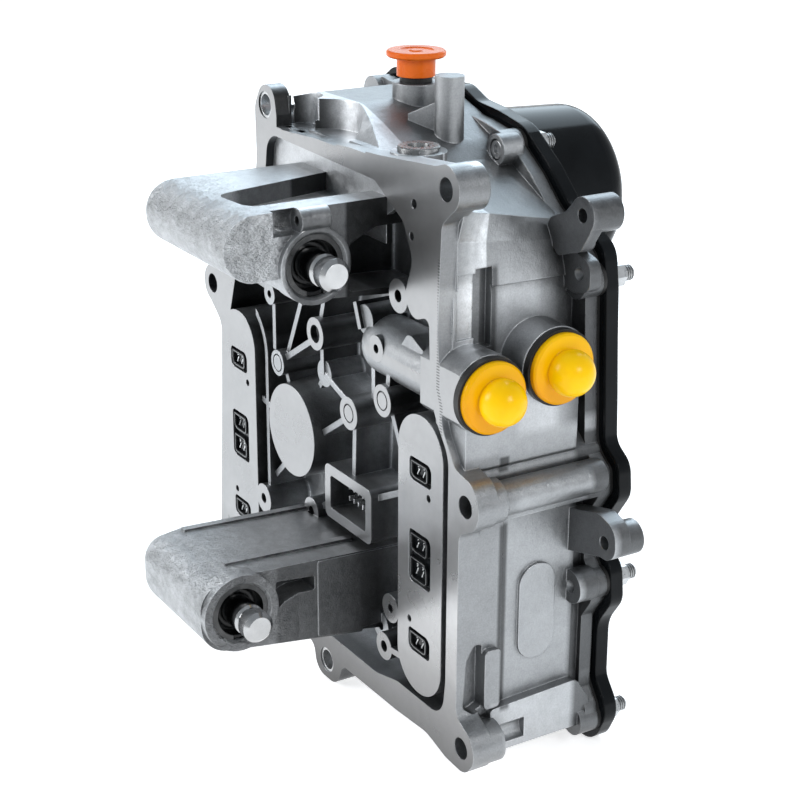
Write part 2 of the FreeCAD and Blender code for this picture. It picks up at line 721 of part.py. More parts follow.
def top_cuts():
    tools = []
    above = roof_inner_z + 20
    beside_ear = block(-38.5, 20, -1, web_front, 200, above)
    behind_ear = block(-45, -38, thin_ear_depth, web_front, 200, above)
    beside_ear = beside_ear.fuse(behind_ear)
    tools.append(rod_z(-33.0, 6.0, 10.8, 216.0, above).common(beside_ear))
    tools.append(rod_z(-6.9, 2.2, 17.1, 217.3, above).common(beside_ear))
    tools.append(block(-38, 44, -1, 10.5, 220.6, above))
    tools.append(prism_x([(-1, 218.8, 0), (9.2, 218.8, 0), (22, 232.1, 0), (22, above, 0),
                          (-1, above, 0)], -7.3, 32))
    tools.append(rod_z(breather_x, breather_y, breather_spigot_radius, roof_inner_z - 20,
                       breather_seat_z + 20))
    tools.append(rod_z(blank_x, blank_y, blank_plug_radius, blank_z - 6, blank_z + 20))
    seat = lock_face_y + lock_head_length + 0.3
    tools.append(rod_y(lock_x, lock_z, lock_screw_radius, lock_face_y - 1, seat + lock_bite + 0.5))
    tools.append(rod_y(lock_x, lock_z, lock_head_radius + 0.3, lock_face_y - 5, seat))
    return tools


# The casting

def valve_housing():
    rim = prism_y(rim_outline(), 0, rim_depth)
    body = prism_y(body_outline(), rim_depth - 3, case_depth)
    flange = flange_plate(case_depth - flange_thickness, case_depth, flange_inset)
    shell = join(rim, [body, flange])
    cavity = offset_face(body_outline(), web_front + web_thickness, case_wall)
    cavity = cavity.extrude(Vector(0, case_depth, 0))
    shell = cut(shell, cavity, recess_solid(), cove())
    shell = join(shell, front_details())
    shell = join(shell, side_details())
    shell = join(shell, top_details() + left_ears() + rear_bosses())
    shell = join(shell, [upper_arm(), lower_arm()])
    for tools in (front_holes(), side_cuts(), top_cuts(), housing_bores()):
        shell = cut(shell, *tools)
    return shell


def recess_solid():
    """Hollow in the front of the case, from the mounting face down to the web."""
    return prism_y(recess_outline(), -1, web_front)


def left_ears():
    ears = [rod_y(x, z, ear_radius, 0, ear_depth) for x, z in (left_ear, bottom_middle_ear)]
    ears.append(slab_between(left_ear, (case_left + 6, left_ear[1] - 4), 14, 0, ear_depth))
    return ears


def locating_ears():
    return [top_left_ear, bottom_middle_ear]


def rear_bosses():
    """Stud bosses inside the rear edge, and the rear selector cylinder."""
    front = case_depth - stud_bite - stud_boss_floor
    bosses = [rod_y(x, z, stud_boss_radius, front, case_depth) for x, z in stud_places]
    bosses.append(rod_x(rear_cylinder_y, rear_cylinder_z, cylinder_radius, cylinder_inner_end,
                        upper_wall_x))
    return bosses


def housing_bores():
    tools = []
    for x, z in (top_right_ear, left_ear):
        tools.append(rod_y(x, z, ear_hole / 2, -1, ear_depth + 3))
    for x, z in locating_ears():
        tools.append(rod_y(x, z, locating_hole / 2, -1, ear_depth + 3))
    for x, z in right_ears():
        tools.append(rod_y(x, z, ear_hole / 2, -1, right_bore_depth))
    for (x, z), start, end in ((top_left_ear, thin_ear_depth, rim_depth + 1.5),
                               (left_ear, ear_depth, head_room_back)):
        tools.append(rod_y(x, z, head_room_radius, start, end))
    for x, z in stud_places:
        tools.append(rod_y(x, z, stud_diameter / 2, case_depth - stud_bite, case_depth + 1))
    for x_mouth, y, z in arm_places().values():
        tools.append(rod_x(y, z, bore_radius, x_mouth - bore_depth, x_mouth + 1))
        lip = Part.makeCone(bore_radius, bore_radius + 1.2, 1.3, Vector(x_mouth - 1.2, y, z),
                            Vector(1, 0, 0))
        tools.append(lip)
    for y, z in ((front_cylinder_y, front_cylinder_z), (rear_cylinder_y, rear_cylinder_z)):
        tools.append(rod_x(y, z, cylinder_bore, selector_floor, case_right + 1))
        tools.append(rod_x(y, z, port_radius, case_right - port_depth, case_right + 1))
    return tools


# Rear cover

def cover_back():
    return case_depth + gasket_thickness


def nut_seat():
    return cover_back() + cover_edge_height


def rear_cover():
    """Moulded cover: solid flange, shallow pan and the dome over the accumulator."""
    y0 = cover_back()
    rim = flange_plate(y0, y0 + cover_edge_height)
    pan = pan_solid(y0, 0.0).cut(pan_solid(y0, cover_sheet))
    dome = dome_solid(y0, 0.0).cut(dome_solid(y0, cover_sheet))
    rim = rim.cut(pan_solid(y0, cover_sheet))
    rim = rim.cut(dome_solid(y0, cover_sheet))
    pan = pan.cut(dome_solid(y0, cover_sheet))
    dome = dome.cut(pan_solid(y0, cover_sheet))
    cover = fuse(rim, pan, dome)
    holes = [rod_y(x, z, stud_diameter / 2 + 0.3, y0 - 1, nut_seat() + 1) for x, z in stud_places]
    return cut(cover, *holes)


def pan_solid(y0, inset):
    face = offset_face(body_outline(), y0 - (1 if inset else 0), pan_inset + inset)
    top = y0 + pan_depth - inset
    solid = face.extrude(Vector(0, top - face.BoundBox.YMin, 0))
    return soften(solid, max(6.0 - inset, 1.0), lambda edge: on_plane(edge, "y", top))


def dome_solid(y0, inset):
    start = y0 - (1 if inset else 0)
    end = y0 + dome_depth - inset
    radius = dome_radius - inset
    dome = Part.makeCone(radius, radius - 2.2, end - start, Vector(dome_x, start, dome_z),
                         Vector(0, 1, 0))
    return soften(dome, dome_edge_radius - inset, lambda edge: on_plane(edge, "y", end))


def cover_gasket():
    outer = flange_plate(case_depth, cover_back(), flange_inset + 0.6)
    inner = offset_face(body_outline(), case_depth - 1, case_wall - 1).extrude(Vector(0, 5, 0))
    bosses = [rod_y(x, z, stud_boss_radius, case_depth, cover_back()) for x, z in stud_places]
    ring = fuse(outer.cut(inner), *bosses)
    holes = [rod_y(x, z, stud_diameter / 2 + 0.3, case_depth - 1, cover_back() + 1)
             for x, z in stud_places]
    return cut(ring, *holes)


def hexagon(x, z, flats, y0, y1, bore):
    corner = flats / math.sqrt(3)
    points = [Vector(x + corner * math.cos(math.radians(60 * i)), y0,
                     z + corner * math.sin(math.radians(60 * i))) for i in range(7)]
    nut = Part.Face(Part.makePolygon(points)).extrude(Vector(0, y1 - y0, 0))
    return nut.cut(rod_y(x, z, bore, y0 - 1, y1 + 1))


def cover_studs():
    seat = nut_seat()
    studs = []
    for x, z in stud_places:
        shank = rod_y(x, z, stud_diameter / 2, case_depth - stud_bite,
                      seat + washer_thickness + nut_height + stud_proud - 1)
        tip = cone_y(x, z, stud_diameter / 2, stud_diameter / 2 - 1,
                     shank.BoundBox.YMax, shank.BoundBox.YMax + 1)
        studs.append(shank.fuse(tip).removeSplitter())
    return Part.makeCompound(studs)


def cover_washers():
    seat = nut_seat()
    rings = []
    for x, z in stud_places:
        ring = rod_y(x, z, washer_diameter / 2, seat, seat + washer_thickness)
        rings.append(ring.cut(rod_y(x, z, stud_diameter / 2, seat - 1, seat + 3)))
    return Part.makeCompound(rings)


def cover_nuts():
    start = nut_seat() + washer_thickness
    nuts = [hexagon(x, z, nut_flats, start, start + nut_height, stud_diameter / 2)
            for x, z in stud_places]
    return Part.makeCompound(nuts)


# Clutch plungers and what is in the bores with them

def bore_floor(mouth):
    return mouth - bore_depth


def guide_back(mouth):
    return mouth - guide_setback - guide_thickness


def plunger(mouth, y, z):
    """Piston and rod in one piece, with a seal groove and a rounded rod end."""
    piston_start = bore_floor(mouth) + spring_length()
    piston_end = piston_start + piston_length
    radius = bore_radius - piston_clearance
    rod_end = mouth + rod_reach
    profile = [
        (piston_start, 0), (piston_start, radius - 0.8), (piston_start + 0.8, radius),
        (piston_start + 4, radius), (piston_start + 4, radius - groove_depth),
        (piston_start + 4 + groove_width, radius - groove_depth),
        (piston_start + 4 + groove_width, radius), (piston_end - 0.8, radius),
        (piston_end, radius - 0.8), (piston_end, rod_radius), (rod_end - 9, rod_radius),
        (rod_end - 8.2, rod_radius - 0.9), (rod_end - 6.8, rod_radius - 0.9),
        (rod_end - 6, rod_radius), (rod_end - 1.6, rod_radius), (rod_end, rod_radius - 1.6),
        (rod_end, 0),
    ]
    return turned([(along - mouth, r) for along, r in profile], Vector(mouth, y, z),
                  Vector(1, 0, 0))


def spring_length():
    """Room between the bore floor and the piston when the piston rests near its guide."""
    return bore_depth - guide_setback - guide_thickness - stop_gap - piston_length


def piston_seal(mouth, y, z):
    start = bore_floor(mouth) + spring_length() + 4
    outer = rod_x(y, z, bore_radius - piston_clearance, start, start + groove_width)
    inner = rod_x(y, z, bore_radius - piston_clearance - groove_depth, start - 1,
                  start + groove_width + 1)
    return outer.cut(inner)


def return_spring(mouth, y, z):
    """Helical spring between the bore floor and the piston, with flat ends."""
    length = spring_length()
    radius = bore_radius - spring_clearance - spring_wire / 2
    height = length - spring_wire
    helix = Part.makeHelix(height / spring_turns, height, radius)
    circle = Part.Wire(Part.makeCircle(spring_wire / 2, Vector(radius, 0, 0), Vector(0, 1, 0)))
    coil = Part.Wire(helix).makePipeShell([circle], True, True)
    coil.Placement = FreeCAD.Placement(Vector(bore_floor(mouth) + spring_wire / 2, y, z),
                                       FreeCAD.Rotation(Vector(0, 0, 1), Vector(1, 0, 0)))
    return coil


def rod_guide(mouth, y, z):
    """Cup that closes the bore round the rod, with a raised lip and a thin outer sleeve."""
    back = guide_back(mouth) - mouth
    front = -guide_setback
    outer = bore_radius - 0.02
    inner = rod_radius + guide_gap
    profile = [
        (back, inner), (back, outer), (-clip_setback, outer),
        (-clip_setback, outer - guide_sleeve_wall), (front, outer - guide_sleeve_wall - 0.3),
        (front, inner + 1.9), (front + 1.6, inner + 1.4), (front + 1.6, inner),
    ]
    return turned(profile, Vector(mouth, y, z), Vector(1, 0, 0))


def retaining_clip(mouth, y, z):
    start = mouth - clip_setback
    outer = rod_x(y, z, bore_radius - 0.02, start, start + clip_thickness)
    ring = outer.cut(rod_x(y, z, bore_radius - clip_width, start - 1, start + clip_thickness + 1))
    gap = block(start - 1, start + 3, y - 3.5, y + 3.5, z - bore_radius - 1, z)
    return ring.cut(gap)


# Selector pistons and the plugs that close their ports

def selector_piston(y, z):
    """Piston with two lands, resting in the middle of its travel."""
    radius = cylinder_bore - selector_clearance
    length = selector_length
    waist = radius - 2.4
    land = length * 0.32
    profile = [
        (0, 0), (0, radius - 0.8), (0.8, radius), (land, radius), (land, waist),
        (length - land, waist), (length - land, radius), (length - 0.8, radius),
        (length, radius - 0.8), (length, 0),
    ]
    start = selector_floor + selector_travel + 5
    return turned(profile, Vector(start, y, z), Vector(1, 0, 0))


def side_plug(y, z):
    """Push-in plug: hollow spigot, flat flange and a ball to pull it by."""
    spigot = port_radius - fit_clearance
    profile = [
        (-plug_spigot_length, spigot - 2.4), (-plug_spigot_length, spigot - 0.8),
        (-plug_spigot_length + 1.2, spigot), (plug_seal_thickness, spigot),
        (plug_seal_thickness, plug_flange_radius), (plug_seal_thickness + 1.8, plug_flange_radius),
        (plug_seal_thickness + 2.6, plug_flange_radius - 0.8),
        (plug_seal_thickness + 3.2, plug_ball_radius),
        (plug_seal_thickness + 3.5, plug_neck_radius), (plug_ball_x, plug_neck_radius),
        (plug_ball_x, 0), (0.0, 0), (0.0, spigot - 2.4),
    ]
    body = turned(profile, Vector(case_right, y, z), Vector(1, 0, 0))
    ball = Part.makeSphere(plug_ball_radius, Vector(case_right + plug_ball_x, y, z),
                           Vector(1, 0, 0))
    return fuse(body, ball)


def plug_seal(y, z):
    ring = rod_x(y, z, plug_seal_radius, case_right, case_right + plug_seal_thickness)
    return ring.cut(rod_x(y, z, port_radius, case_right - 1, case_right + 4))


# Breather cap, blanking plug and locating sleeves

def breather_cap():
    seat = breather_seat_z
    ring = breather_ring_height
    under = ring + breather_neck_length
    top = under + breather_flange_thickness
    profile = [
        (-breather_spigot_length, 0), (-breather_spigot_length, breather_spigot_radius),
        (ring, breather_spigot_radius), (ring, breather_neck_radius),
        (under, breather_neck_radius), (under, breather_flange_radius - 0.6),
        (under + 0.6, breather_flange_radius), (top - 0.7, breather_flange_radius),
        (top, breather_flange_radius - 0.7), (top, 7.0), (top - 0.5, 6.4), (top - 0.5, 3.0),
        (top, 2.4), (top, 0),
    ]
    return turned(profile, Vector(breather_x, breather_y, seat), Vector(0, 0, 1))


def breather_ring():
    top = breather_seat_z + breather_ring_height
    ring = rod_z(breather_x, breather_y, breather_ring_radius, breather_seat_z, top)
    return ring.cut(rod_z(breather_x, breather_y, breather_spigot_radius, breather_seat_z - 1,
                          top + 1))


def blanking_plug():
    radius = blank_plug_radius
    profile = [(-6, 0), (-6, radius - 0.6), (-5.4, radius), (0, radius), (0, radius + 1.0),
               (1.6, radius + 1.0), (2.0, radius + 0.6), (2.0, 4.2), (-1.0, 3.6), (-1.0, 0)]
    return turned(profile, Vector(blank_x, blank_y, blank_z), Vector(0, 0, 1))


def locking_screw():
    """Socket screw that closes the small boss on the roof; its head faces the front."""
    head = lock_head_length
    profile = [(-lock_bite, 0), (-lock_bite, lock_screw_radius), (0, lock_screw_radius),
               (0, lock_head_radius), (head - 0.4, lock_head_radius),
               (head, lock_head_radius - 0.4), (head, 1.9), (head - 1.6, 1.9), (head - 1.6, 0)]
    seat_y = lock_face_y + lock_head_length + 0.3
    return turned(profile, Vector(lock_x, seat_y, lock_z), Vector(0, -1, 0))


def dowel_sleeves():
    sleeves = []
    for x, z in locating_ears():
        tube = rod_y(x, z, locating_hole / 2, 0.5, 0.5 + sleeve_length)
        sleeves.append(tube.cut(rod_y(x, z, locating_hole / 2 - sleeve_wall, 0,
                                      2 + sleeve_length)))
    return Part.makeCompound(sleeves)


# Control unit: sensor inserts in the windows, and the connector in its port

def sensor_insert(x):
    """One moulding per land: a back plate inside the case, with a block in each window."""
    back = web_front + web_thickness
    side = plate_half_width
    low = land_mid_z - plate_half_height
    high = land_mid_z + plate_half_height
    plate = prism_y([(x - side, low, 3), (x + side, low, 3), (x + side, high, 3),
                     (x - side, high, 3)], back, back + plate_thickness)
    blocks = [prism_y(window_outline(wx, wz, height, insert_clearance), insert_recess, back + 1)
              for wx, wz, height in windows(x)]
    return fuse(plate, *blocks)


def contact_marks(x):
    """Lead frame ends that stand in the face of each window block."""
    pins = []
    for wx, wz, height in windows(x):
        rows = (wz,) if height == window_height else (wz + 5.6, wz - 5.6)
        for row in rows:
            pins.extend(contact_pair(wx, row))
    return Part.makeCompound(pins)


def contact_pair(x, z):
    pins = []
    for side in (-1.6, 1.6):
        pin = block(x + side - pin_width / 2, x + side + pin_width / 2, insert_recess - 0.5,
                    insert_recess, z - 2.4, z + 2.4)
        pins.append(pin)
    return pins


def unit_connector():
    """Connector body that stands in the front port, with its blades."""
    gap = port_shell_gap
    x0 = port_left + port_wall + gap
    x1 = port_right - port_wall - gap
    z0 = port_bottom + port_wall + gap
    z1 = port_top - port_wall - gap
    back = web_front + web_thickness
    base = block(x0, x1, 14, back, z0, z1)
    foot = block(x0 - 5, x1 + 5, back, back + 3, z0 - 4, z1 + 4)
    return fuse(base, foot)


def connector_blades():
    blades = []
    for row in range(2):
        for column in range(6):
            x = (port_left + port_right) / 2 + (column - 2.5) * 3.6
            z = (port_bottom + port_top) / 2 + (row - 0.5) * 5.0
            blades.append(block(x - 0.4, x + 0.4, 6, 14, z - 1.1, z + 1.1))
    return Part.makeCompound(blades)


# Hydraulics inside the case, behind the web

def channel_plate_back():
    return channel_plate_y + channel_plate_thickness


def valve_places():
    upper_row = [(-65.5 + valve_pitch * i, 116.0) for i in range(4)]
    right_row = [(68.0, 95.0 - valve_pitch * i) for i in range(4)]
    return upper_row + right_row


def channel_plate():
    """Machined plate with the oil channels; the valves, motor and accumulator bolt to it."""
    corners = [(-84, 12, 8), (84, 12, 8), (84, 98, 8), (64, 118, 10), (22, 126, 8),
               (-76, 128, 10), (-84, 100, 8)]
    plate = prism_y(corners, channel_plate_y, channel_plate_back())
    column = [rod_y(x, z, 5.5, web_front + web_thickness, channel_plate_y + 1)
              for x, z in plate_screw_places()]
    plate = fuse(plate, *column)
    channels = []
    for x, z in valve_places():
        channels.append(slab_between((x, z), (20, 74), 3.0, channel_plate_back() - 3,
                                     channel_plate_back() + 1))
    holes = [rod_y(x, z, 3.0, channel_plate_y - 8, channel_plate_back() + 1)
             for x, z in plate_screw_places()]
    return cut(plate, *channels, *holes)


def plate_screw_places():
    return [(-58, 22), (54, 22), (54, 90), (-58, 92), (6, 22)]


def plate_screws():
    screws = []
    for x, z in plate_screw_places():
        shank = rod_y(x, z, 3.0, web_front + web_thickness, channel_plate_back())
        head = rod_y(x, z, 5.0, channel_plate_back(), channel_plate_back() + 5.5)
        socket = rod_y(x, z, 2.4, channel_plate_back() + 2.5, channel_plate_back() + 6)
        screws.append(shank.fuse(head).removeSplitter().cut(socket))
    return Part.makeCompound(screws)


def solenoid_valves():
    cans = []
    start = channel_plate_back()
    for x, z in valve_places():
        can = rod_y(x, z, valve_radius, start, start + valve_length)
        neck = rod_y(x, z, valve_radius - 2.4, start + valve_length, start + valve_length + 3)
        cans.append(can.fuse(neck).removeSplitter())
    return Part.makeCompound(cans)


def accumulator():
    """Pressed steel can with a rounded crown, under the dome of the cover."""
    start = web_front + web_thickness
    top = cover_back() + dome_depth - cover_sheet - accumulator_clearance
    can = rod_y(dome_x, dome_z, accumulator_radius, start, top)
    return soften(can, 8.0, lambda edge: on_plane(edge, "y", top))


def accumulator_clamp():
    """Sheet ring round the can, with two legs that stand on the web."""
    y0 = clamp_y
    band = rod_y(dome_x, dome_z, accumulator_radius + 2.0, y0, y0 + clamp_width)
    legs = []
    for angle in (210, 330):
        reach = accumulator_radius + 5.5
        x = dome_x + reach * math.cos(math.radians(angle))
        z = dome_z + reach * math.sin(math.radians(angle))
        legs.append(rod_y(x, z, 4.0, web_front + web_thickness, y0 + clamp_width))
    band = fuse(band, *legs)
    can = rod_y(dome_x, dome_z, accumulator_radius, web_front, y0 + clamp_width + 1)
    return band.cut(can)


def pump_motor():
    start = channel_plate_back()
    can = rod_y(motor_x, motor_z, motor_radius, start, start + motor_length - 4)
    cap = cone_y(motor_x, motor_z, motor_radius, motor_radius - 5, start + motor_length - 4,
                 start + motor_length)
    return can.fuse(cap).removeSplitter()


parts = {
    "valve_housing": valve_housing,
    "rear_cover": rear_cover,
    "cover_gasket": cover_gasket,
    "cover_studs": cover_studs,
    "cover_washers": cover_washers,
    "cover_nuts": cover_nuts,
    "breather_cap": breather_cap,
    "breather_ring": breather_ring,
    "blanking_plug": blanking_plug,
    "locking_screw": locking_screw,
    "dowel_sleeves": dowel_sleeves,
    "unit_connector": unit_connector,
    "connector_blades": connector_blades,
    "channel_plate": channel_plate,
    "plate_screws": plate_screws,
    "solenoid_valves": solenoid_valves,
    "accumulator": accumulator,
    "accumulator_clamp": accumulator_clamp,
    "pump_motor": pump_motor,
}


def build():
    for name, maker in parts.items():
        save(name, maker())
    for side, (mouth, y, z) in arm_places().items():
        save(side + "_plunger", plunger(mouth, y, z))
        save(side + "_piston_seal", piston_seal(mouth, y, z))
        save(side + "_return_spring", return_spring(mouth, y, z))
        save(side + "_rod_guide", rod_guide(mouth, y, z))
        save(side + "_retaining_clip", retaining_clip(mouth, y, z))
    ports = {"front": (front_cylinder_y, front_cylinder_z),
             "rear": (rear_cylinder_y, rear_cylinder_z)}
    for side, (y, z) in ports.items():
        save(side + "_selector_piston", selector_piston(y, z))
        save(side + "_side_plug", side_plug(y, z))
        save(side + "_plug_seal", plug_seal(y, z))
    for side, x in {"right": right_land_x, "left": left_land_x}.items():
        save(side + "_sensor_insert", sensor_insert(x))
        save(side + "_contacts", contact_marks(x))


build()
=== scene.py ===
import json
import math

import bmesh
import bpy
from mathutils import Matrix, Vector


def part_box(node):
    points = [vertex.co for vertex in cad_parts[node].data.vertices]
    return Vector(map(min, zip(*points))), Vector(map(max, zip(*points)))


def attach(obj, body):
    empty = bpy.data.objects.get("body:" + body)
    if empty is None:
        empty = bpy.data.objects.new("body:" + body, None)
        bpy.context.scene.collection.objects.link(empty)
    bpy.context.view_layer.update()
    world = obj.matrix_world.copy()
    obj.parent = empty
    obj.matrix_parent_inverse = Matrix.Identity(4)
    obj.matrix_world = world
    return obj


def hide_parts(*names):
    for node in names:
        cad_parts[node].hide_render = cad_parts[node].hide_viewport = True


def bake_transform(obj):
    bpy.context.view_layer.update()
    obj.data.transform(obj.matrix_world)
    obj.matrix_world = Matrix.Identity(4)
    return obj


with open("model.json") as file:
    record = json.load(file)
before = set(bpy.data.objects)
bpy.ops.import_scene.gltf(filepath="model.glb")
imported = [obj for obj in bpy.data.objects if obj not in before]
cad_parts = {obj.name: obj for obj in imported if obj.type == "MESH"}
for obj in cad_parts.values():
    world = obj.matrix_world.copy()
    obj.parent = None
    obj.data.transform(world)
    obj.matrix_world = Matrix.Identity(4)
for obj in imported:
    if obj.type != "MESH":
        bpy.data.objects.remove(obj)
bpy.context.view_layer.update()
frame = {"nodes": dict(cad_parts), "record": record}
nodes = frame["nodes"]
MM = 0.001

# The camera stands where the photograph was taken from, in millimetres; the roll is in degrees.
CAMERA_PLACE = (588.65, -326.40, 361.68)
CAMERA_BACK = (0.7987, -0.4906, 0.3487)
CAMERA_ROLL = 0.26
CAMERA_LENS = 79.76
CAMERA_SENSOR = 36.0

# The floor lies under the part, in millimetres, and reaches this far to each side, in metres.
FLOOR_Z = -16.5
FLOOR_REACH = 9.0

# Colour of the world from below to above, the height where the upper one is reached, strength.
WORLD_LOW = (0.75, 0.78, 0.80, 1)
WORLD_HIGH = (0.42, 0.45, 0.48, 1)
WORLD_HIGH_AT = 0.7
WORLD_STRENGTH = 0.9

# Windows in the two lands: middle of each land, and (middle height, height) of each window.
LANDS = {"right": 71.9, "left": -78.7}
WINDOWS = [(105.4, 9.5), (69.3, 22.0), (33.6, 9.5)]
WINDOW_WIDTH = 15.5
TALL_WINDOW = 12.0
INSERT_FACE_Y = 1.6

# Contact fields in the windows: a raised rim, a bright line on it and two hooks inside.
FIELD_LEFT_MARGIN = 0.5
FIELD_RIGHT_MARGIN = 3.0
RIM_WALL = 1.1
RIM_FRONT_Y = 0.30
LINE_INSET = 0.35
LINE_WALL = 0.32
LINE_FRONT_Y = 0.22
LINE_BACK_Y = 0.32
HOOK_RAISE = 0.35
HOOK_WIRE = 0.3
HOOK_SCALE = 0.95
HOOK_SHIFT = 0.3
HOOK_STEP = 2.0

# Return springs: radius of the wire, turns, turns that lie flat at each end, steps and sides.
SPRING_WIRE = 1.0
SPRING_TURNS = 5.8
SPRING_FLAT_TURNS = 0.6
SPRING_STEPS = 140
SPRING_SIDES = 8

# Wall above the upper arm: its corners (x, z), front and back.
ARM_ROOT_CORNERS = [(-52.0, 186.0), (41.5, 186.0), (41.5, 197.0), (48.0, 201.0),
                    (54.0, 204.0), (40.0, 216.0), (-52.0, 216.0)]
ARM_ROOT_FRONT_Y = 3.5
ARM_ROOT_BACK_Y = 6.0

# Shaders measure places in metres. Most of a noise lies between the two values given here, and
# the waves of the threads and of the cutter's chatter are in radians per metre.
NOISE_LOW = 0.3
NOISE_HIGH = 0.7
THREAD_WAVE = 6283.0
CHATTER_WAVE = 5700.0
CAST_TONE = 0.37
MACHINED_TONE = 0.355
# Radius of the rounded edges, which also carry a painted highlight; reach and tone of the
# painted shade in hollows.
EDGE_RADIUS = 0.0007
HOLLOW_REACH = 0.014
HOLLOW_SHADE_TONE = 0.60


# Shader building

class Shader:
    """A material and short calls that add nodes to it."""

    def __init__(self, name):
        self.material = bpy.data.materials.new(name)
        self.material.use_nodes = True
        self.tree = self.material.node_tree
        self.tree.nodes.clear()
        self.surface = self.tree.nodes.new("ShaderNodeBsdfPrincipled")
        output = self.tree.nodes.new("ShaderNodeOutputMaterial")
        self.tree.links.new(self.surface.outputs[0], output.inputs[0])
        self.place = self.tree.nodes.new("ShaderNodeTexCoord")

    def put(self, socket, value):
        if isinstance(value, bpy.types.NodeSocket):
            self.tree.links.new(value, socket)
        elif value is not None:
            socket.default_value = value

    def node(self, kind, inputs=(), **settings):
        made = self.tree.nodes.new(kind)
        for key, value in settings.items():
            setattr(made, key, value)
        for key, value in dict(inputs).items():
            self.put(made.inputs[key], value)
        return made

    def set(self, **values):
        names = {"color": "Base Color", "metallic": "Metallic", "roughness": "Roughness",
                 "normal": "Normal", "coat": "Coat Weight", "coat_roughness": "Coat Roughness",
                 "specular": "Specular IOR Level", "sss": "Subsurface Weight",
                 "sss_scale": "Subsurface Scale", "glow": "Emission Color",
                 "glow_strength": "Emission Strength"}
        for key, value in values.items():
            self.put(self.surface.inputs[names[key]], value)
        return self.material

    def noise(self, scale, detail=3.0, rough=0.5, where=None):
        where = where or self.place.outputs["Object"]
        made = self.node("ShaderNodeTexNoise", {"Vector": where, "Scale": scale,
                                                "Detail": detail, "Roughness": rough})
        return made.outputs["Fac"]

    def stretch(self, x, y, z):
        made = self.node("ShaderNodeMapping", {"Vector": self.place.outputs["Object"],
                                               "Scale": (x, y, z)})
        return made.outputs["Vector"]

    def span(self, value, low, high, to_low=0.0, to_high=1.0):
        """Value that runs from to_low to to_high while the given one runs from low to high."""
        made = self.node("ShaderNodeMapRange", {"Value": value, "From Min": low,
                                                "From Max": high, "To Min": to_low,
                                                "To Max": to_high})
        return made.outputs["Result"]

    def spread(self, noise, low=0.0, high=1.0):
        """Noise stretched so that it runs from low to high."""
        return self.span(noise, NOISE_LOW, NOISE_HIGH, low, high)

    def within(self, value, low, high, soft):
        """1 from low to high and 0 outside, with ends of the length soft."""
        return self.product(self.span(value, low - soft, low),
                            self.span(value, high + soft, high))

    def toned(self, zone, tone):
        """Factor that is tone inside the zone and 1 outside."""
        return self.span(zone, 0.0, 1.0, 1.0, tone)

    def math(self, operation, a, b=None):
        made = self.node("ShaderNodeMath", {0: a, 1: b}, operation=operation)
        return made.outputs[0]

    def product(self, first, *others):
        for other in others:
            first = self.math("MULTIPLY", first, other)
        return first

    def total(self, first, *others):
        for other in others:
            first = self.math("ADD", first, other)
        return first

    def mix(self, fac, a, b):
        made = self.node("ShaderNodeMix", {"Factor": fac}, data_type="RGBA")
        self.put(made.inputs[6], a)
        self.put(made.inputs[7], b)
        return made.outputs[2]

    def blend(self, fac, a, b):
        made = self.node("ShaderNodeMix", {"Factor": fac}, data_type="FLOAT")
        self.put(made.inputs[2], a)
        self.put(made.inputs[3], b)
        return made.outputs[0]

    def tinted(self, value, red, blue):
        """Colour of one tone, with its red and blue shares scaled."""
        made = self.node("ShaderNodeCombineColor", {0: self.product(value, red) if red != 1
                                                    else value,
                                                    1: value, 2: self.product(value, blue)})
        return made.outputs[0]

    def bump(self, height, strength, distance, under=None):
        made = self.node("ShaderNodeBump", {"Height": height, "Strength": strength,
                                            "Distance": distance, "Normal": under})
        return made.outputs["Normal"]

    def part(self, socket, name):
        made = self.node("ShaderNodeSeparateXYZ", {0: socket})
        return made.outputs[name]

    def rounded(self, radius):
        return self.node("ShaderNodeBevel", {"Radius": radius}, samples=4).outputs[0]


def grey(value, tint=0.0):
    """Grey of one tone; a tint above 0 moves it towards blue."""
    return (value * (1 - tint), value, value * (1 + tint), 1.0)


def wall_zones(s, x, y, z, faces):
    """Places on the right wall, the roof and the lugs with painted light and shade: (zone,
    tone).
    """
    side = s.product(faces["right"], s.span(x, 0.070, 0.080))
    low_wall = s.span(z, 0.119, 0.117)
    upper_wall = s.span(z, 0.122, 0.126)
    step_heights = s.total(s.within(z, 0.014, 0.089, 0.002), s.within(z, 0.111, 0.116, 0.001))
    # Painted shadow along the step between the front strip and the wall.
    step = s.product(side, s.within(y, 0.0188, 0.0218, 0.0012), step_heights)
    # Painted shade in the slots of the upper wall.
    slot = s.product(side, s.within(y, 0.0160, 0.0240, 0.0015),
                     s.within(z, 0.150, 0.184, 0.002))
    # Painted shade on the wall under the cover's flange.
    shade_under_cover = s.total(s.product(low_wall, s.span(y, 0.0515, 0.0545)),
                          s.product(upper_wall, s.span(y, 0.0440, 0.0530)))
    shade_under_cover = s.product(side, shade_under_cover)
    # Painted shade on the front strip of the lower wall.
    strip_shade = s.product(side, s.span(y, 0.021, 0.017), low_wall)
    # Painted shade on the shoulder under the upper ear.
    shade_under_ear = s.product(side, s.span(z, 0.178, 0.181), s.span(y, 0.018, 0.015))
    # Painted light on the open part of the upper wall.
    lit_open_wall = s.product(side, upper_wall, s.within(y, 0.028, 0.041, 0.004),
                          s.span(z, 0.190, 0.175))
    # Painted light on the low band of the wall, behind its front.
    lit_low_band = s.product(side, s.span(z, 0.0175, 0.0160), s.span(y, 0.0135, 0.0150))
    # Painted shade on the front faces of the lugs.
    lug_front_shade = s.product(faces["front"], s.span(y, 0.036, 0.044), s.span(x, 0.070, 0.078))
    # Painted shade on the roof behind the rim.
    roof_shade = s.product(faces["up"], s.span(y, 0.010, 0.016), s.span(z, 0.18, 0.19))
    return [(roof_shade, 0.62), (lit_low_band, 1.3), (step, 0.30), (slot, 0.35), (shade_under_cover, 0.32),
            (strip_shade, 0.80), (lug_front_shade, 0.38), (shade_under_ear, 0.68), (lit_open_wall, 1.4)]


